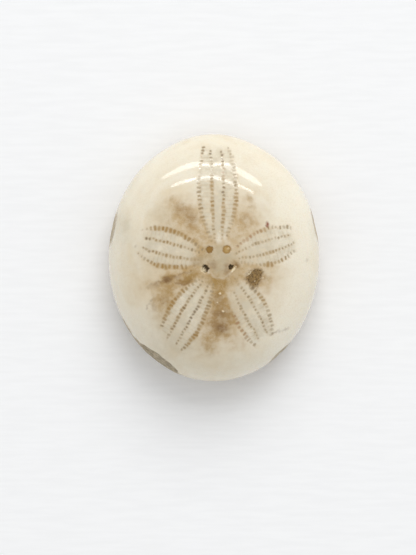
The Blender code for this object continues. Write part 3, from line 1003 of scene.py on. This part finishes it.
CREAM = tone(234, 226, 205)
WARM_CREAM = tone(227, 214, 187)
PALE_CREAM = tone(241, 235, 218)
PETAL_WHITE = tone(206, 195, 171)
SHADE_GREY = tone(188, 179, 154)
TAN = tone(185, 155, 106)
OCHRE = tone(160, 127, 66)
BROWN = tone(124, 90, 46)
RED_CLAY = tone(128, 52, 14)
PORE_OCHRE = tone(156, 118, 50)
PORE_BROWN = tone(150, 130, 96)
PORE_DARK = tone(108, 90, 62)
PORE_RED = tone(174, 128, 92)
DISC_GREY = tone(186, 171, 140)
# Pale calcite, also used for painted glints
CRYSTAL_AND_GLINT = tone(236, 219, 184)
FILL_OCHRE = tone(188, 156, 96)
FILL_BROWN = tone(144, 106, 40)
# Painted shade in the two open genital pores, and the darker rim of a filled one
DARK_RIM_AND_HOLE_SHADE = tone(66, 48, 14)
CRUST_BROWN = tone(98, 72, 30)
CRUST_OCHRE = tone(152, 121, 68)
GREY_ROCK = tone(142, 129, 105)
PALE_ROCK = tone(186, 172, 143)
DARK_ROCK = tone(98, 84, 62)
BASE_BEIGE = tone(222, 208, 180)
BASE_GREY = tone(194, 179, 150)
FLOOR_GREY = tone(245, 246, 247)
FLOOR_WHITE = tone(248, 249, 250)


def stained_cream(mat, fleck):
    """Cream calcite with its faint bands, and the stains that run through it, with painted shade and
    painted light among the grey and pale ones.
    """
    mottle = mat.noise(0.16, detail=5.0, distortion=0.6)
    kept = mat.math("SUBTRACT", 1.0, mat.times("petal", 0.5))
    grain = mat.band(fleck, 0.32, 0.68, 0.74, 1.2)
    grit = mat.noise(3.2, roughness=0.75)
    return mat.over(
        CREAM,
        (WARM_CREAM, mat.band(mottle, 0.35, 0.7)),
        (PALE_CREAM, mat.band("streak", 0.45, 1.0, 0.0, 0.5)),
        (TAN, "tan", kept, grain),
        (OCHRE, "ochre", kept, grain),
        # Grey tone, and painted shade on the left side and the lower rim
        (SHADE_GREY, "shade", kept, grain),
        (BROWN, mat.band(grit, 0.52, 0.75), "tan", 0.3),
        (TAN, mat.band(grit, 0.3, 0.6, 0.12, 0.0)),
        # Pale spots, and painted light along the rim
        (PALE_CREAM, "pale", mat.band(grit, 0.3, 0.6, 0.4, 1.0)),
    )


def marked_petals(mat, colour, fleck, patches):
    """Pale petals and the grey sieve plate, and the dark marks that run over them."""
    disc = mat.over(DISC_GREY, (TAN, mat.band(mat.cells(3.6), 0.0, 0.35, 0.35, 0.0)))
    return mat.over(
        colour,
        (PETAL_WHITE, "petal", patches),
        (disc, "disc", mat.band(mat.noise(1.3), 0.3, 0.7, 0.35, 0.9)),
        (BROWN, "brown", mat.band(fleck, 0.32, 0.68, 0.7, 1.2)),
        (RED_CLAY, "red", 0.95),
        (BROWN, "vein", mat.band(fleck, 0.25, 0.5), 0.45),
    )


def pore_colour(mat, colour, patches):
    """The fine lines across the petals, and their filled pores."""
    lines = mat.math("SINE", mat.math("MULTIPLY", "phase", RIBS_PER_MM * 2 * np.pi))
    strength = mat.most(mat.times("ochre_pore", 0.8), mat.times(patches, 0.45))
    spread = mat.over(TAN, (OCHRE, "ochre_pore"))
    pore = mat.over(
        PORE_BROWN,
        (PORE_OCHRE, "ochre_pore"),
        (PORE_RED, "red_pore"),
        (PORE_DARK, "dark_pore"),
    )
    depth = mat.most(mat.band("own", 0.0, 1.0, 0.45, 0.95), "dark_pore")
    return mat.over(
        colour,
        (TAN, mat.band(lines, 0.2, 1.0, 0.0, 0.25), "ribs", patches),
        (spread, "halo", strength),
        (pore, "slit", depth),
    )


def apex_colour(mat, colour):
    """The rim of the sieve plate, the filled genital pores with painted shade in the two open ones, the
    crusted pit, and the clear crystals with some painted glints.
    """
    filling = mat.over(
        FILL_OCHRE,
        (FILL_BROWN, mat.band("dark", 0.0, 0.5)),
        # Painted shade in the two open pores, and a darker rim on a filled one
        (DARK_RIM_AND_HOLE_SHADE, mat.band("dark", 0.5, 1.1)),
    )
    crumbs = mat.band(mat.noise(2.6, roughness=0.7), 0.38, 0.62)
    crust = mat.over(CRUST_BROWN, (CRUST_OCHRE, crumbs))
    return mat.over(
        colour,
        (PALE_CREAM, "disc_rim", 0.25),
        (filling, "filling"),
        (crust, "crust", 0.9),
        # Pale crystals, and painted glints
        (CRYSTAL_AND_GLINT, "crystal", 0.9),
    )


def natural_colour(mat, colour, cells):
    """The unpolished base with its small tubercles, its stained furrows and its rock."""
    speck = mat.noise(0.9, detail=6.0, roughness=0.7)
    pits = mat.noise(2.6, roughness=0.7)
    wide = mat.noise(0.12, detail=3.0, roughness=0.5, distortion=0.5)
    base = mat.over(
        BASE_BEIGE,
        (BASE_GREY, mat.band(speck, 0.3, 0.7)),
        (GREY_ROCK, mat.band(cells, 0.26, 0.5, 0.2, 0.0)),
        (TAN, mat.band(wide, 0.4, 0.7, 0.0, 0.6)),
        (PALE_CREAM, mat.band(cells, 0.1, 0.24, 0.45, 0.0)),
        (DARK_ROCK, mat.band(pits, 0.58, 0.74, 0.0, 0.45)),
    )
    rock = mat.over(
        PALE_ROCK,
        (GREY_ROCK, mat.band(speck, 0.35, 0.6)),
        (DARK_ROCK, mat.band(pits, 0.5, 0.68, 0.0, 0.8)),
    )
    return mat.over(
        colour,
        (base, "natural", 0.92),
        (BROWN, "furrow", mat.band(speck, 0.3, 0.7, 0.3, 0.75)),
        (DARK_ROCK, "slit", "natural"),
        (rock, "grey", mat.band(pits, 0.25, 0.4, 0.7, 1.0)),
        (rock, "matrix"),
    )


def fossil_colour(mat, cells):
    """Every tone of the shell, from the cream up to the marks that lie over it."""
    fleck = mat.noise(0.8)
    patches = mat.band(mat.noise(0.6), 0.3, 0.7, 0.15, 0.95)
    colour = marked_petals(mat, stained_cream(mat, fleck), fleck, patches)
    colour = apex_colour(mat, pore_colour(mat, colour, patches))
    return natural_colour(mat, colour, cells)


# How stone takes the light: index of refraction, and how light spreads under the polish, in mm
IOR = 1.56
SPREAD_SHARE = 0.12
SPREAD_TINT = (1.0, 0.75, 0.5)
SPREAD_REACH = 1.2


def fossil_material():
    """Polished calcite above, and satin or rough where the polish stops."""
    mat = Shader("polished_fossil")
    cells = mat.cells(1.25)
    hole = mat.times("filling", mat.band("dark", 0.6, 0.9))
    rough = mat.most("worn", "matrix", "crust")
    dull = mat.most(rough, mat.times("natural", 0.75), mat.times("slit", 0.4), hole)
    gloss = mat.band(mat.noise(0.6, detail=3.0, roughness=0.5), 0.3, 0.7, 0.05, 0.09)
    grit = mat.noise(3.0, detail=5.0, roughness=0.65)
    grainy = mat.bump(mat.times(grit, mat.most(rough, "natural")), 0.16)
    knobs = mat.times(mat.band(cells, 0.05, 0.3, 1.0, 0.0), "natural")
    inputs = {
        "Base Color": fossil_colour(mat, cells),
        "Roughness": mat.math("ADD", gloss, mat.times(dull, 0.7)),
        "Normal": mat.bump(knobs, 0.08, Normal=grainy),
        "IOR": IOR,
        "Subsurface Weight": SPREAD_SHARE,
        "Subsurface Radius": SPREAD_TINT,
        "Subsurface Scale": SPREAD_REACH * MM,
    }
    mat.fill(mat.surface, inputs)
    return mat.material


def floor_material():
    """Plain pale board with a faint brushed grain."""
    mat = Shader("pale_floor")
    grain = mat.noise(0.45, detail=5.0, roughness=0.5, stretch=(0.25, 2.2, 1.0))
    shade = mat.over(FLOOR_GREY, (FLOOR_WHITE, mat.band(grain, 0.3, 0.7)))
    inputs = {"Base Color": shade, "Roughness": 0.9, "Normal": mat.bump(grain, 0.006)}
    mat.fill(mat.surface, inputs)
    return mat.material


# Floor, lamps and camera, in metres and watts. Strips: two points, width, radiance and shape
FLOOR_SIZE = 6.0
FLOOR_HEIGHT = -0.00002
SURROUND = 0.66
KEY_PLACE = (0.235, 1.3, 1.23)
KEY_SIZE = 1.3
KEY_WATTS = 18.2
STRIP_HEIGHT = 0.5
Strip = namedtuple("Strip", "start end width radiance shape")
STRIPS = {
    "far_left": Strip((-0.56, 0.805), (-0.03, 0.63), 0.125, 4.6, "ELLIPSE"),
    "far_middle": Strip((-0.15, 0.65), (0.02, 0.6), 0.065, 6.5, "RECTANGLE"),
    "far_peak": Strip((0.01, 0.605), (0.17, 0.72), 0.055, 6.5, "RECTANGLE"),
    "far_right": Strip((0.15, 0.75), (0.3, 0.38), 0.13, 4.4, "ELLIPSE"),
    "near_left": Strip((-0.31, 0.428), (-0.15, 0.402), 0.04, 6.0, "ELLIPSE"),
    "near_middle": Strip((-0.2, 0.412), (0.05, 0.388), 0.026, 7.5, "RECTANGLE"),
    "near_right": Strip((-0.02, 0.398), (0.24, 0.318), 0.03, 7.5, "RECTANGLE"),
}
CAMERA_PLACE = (-0.0012, -0.0040, 0.30)
CAMERA_LENS = 94.0


def make_floor():
    """A wide pale floor just under the shell."""
    bpy.ops.mesh.primitive_plane_add(size=FLOOR_SIZE, location=(0.0, 0.0, FLOOR_HEIGHT))
    floor = bpy.context.object
    floor.name = "floor"
    floor.data.materials.append(floor_material())
    floor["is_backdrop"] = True


def add_key_light():
    """One large soft lamp that faces the shell and doesn't show in its polish."""
    data = bpy.data.lights.new("key", "AREA")
    data.size = KEY_SIZE
    data.energy = KEY_WATTS
    lamp = add_object("key", data)
    lamp.location = KEY_PLACE
    lamp.rotation_euler = (-Vector(KEY_PLACE)).to_track_quat("-Z", "Y").to_euler()
    lamp.visible_glossy = False


def add_strip_light(name, start, end, width, radiance, shape):
    """A long lamp midway between two points, roughly facing the shell and seen only in its polish."""
    start, end = Vector((*start, STRIP_HEIGHT)), Vector((*end, STRIP_HEIGHT))
    middle, along = (start + end) / 2, end - start
    data = bpy.data.lights.new(name, "AREA")
    data.shape = shape
    data.size, data.size_y = along.length, width
    area = along.length * width * (np.pi / 4 if shape == "ELLIPSE" else 1.0)
    data.energy = radiance * np.pi * area
    lamp = add_object(name, data)
    down = -middle.normalized()
    side = down.cross(along).normalized()
    # The axes aren't square. Blender takes a turn from them, and the points are chosen to suit it.
    axes = (along.normalized(), side.cross(-along).normalized(), -down)
    lamp.matrix_world = Matrix(axes).transposed().to_4x4()
    lamp.location = middle
    lamp.visible_diffuse = False


def make_lights():
    """A pale surround, one large soft lamp ahead and to the right, and strips for the highlights."""
    world = bpy.data.worlds.new("surround")
    world.use_nodes = True
    background = world.node_tree.nodes["Background"]
    background.inputs["Color"].default_value = (1.0, 1.0, 1.0, 1.0)
    background.inputs["Strength"].default_value = SURROUND
    bpy.context.scene.world = world
    add_key_light()
    for name, strip in STRIPS.items():
        add_strip_light(name, *strip)


def make_camera():
    """Straight above, as in the photograph."""
    data = bpy.data.cameras.new("camera")
    data.lens = CAMERA_LENS
    data.sensor_width = 36.0
    camera = add_object("camera", data)
    camera.location = CAMERA_PLACE
    bpy.context.scene.camera = camera


def write_sizes():
    """Works out the box of the solid model and of the dressed one, but doesn't keep or write them."""
    boxes = {"cad": CAD_BOX, "visual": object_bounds()}
    plain = {name: [[float(x) for x in corner] for corner in box] for name, box in boxes.items()}


shell = make_shell()
shell.data.materials.append(fossil_material())
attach(shell, "root")
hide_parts(NODE)
make_floor()
make_lights()
make_camera()
bpy.context.scene.view_settings.view_transform = "Standard"
write_sizes()
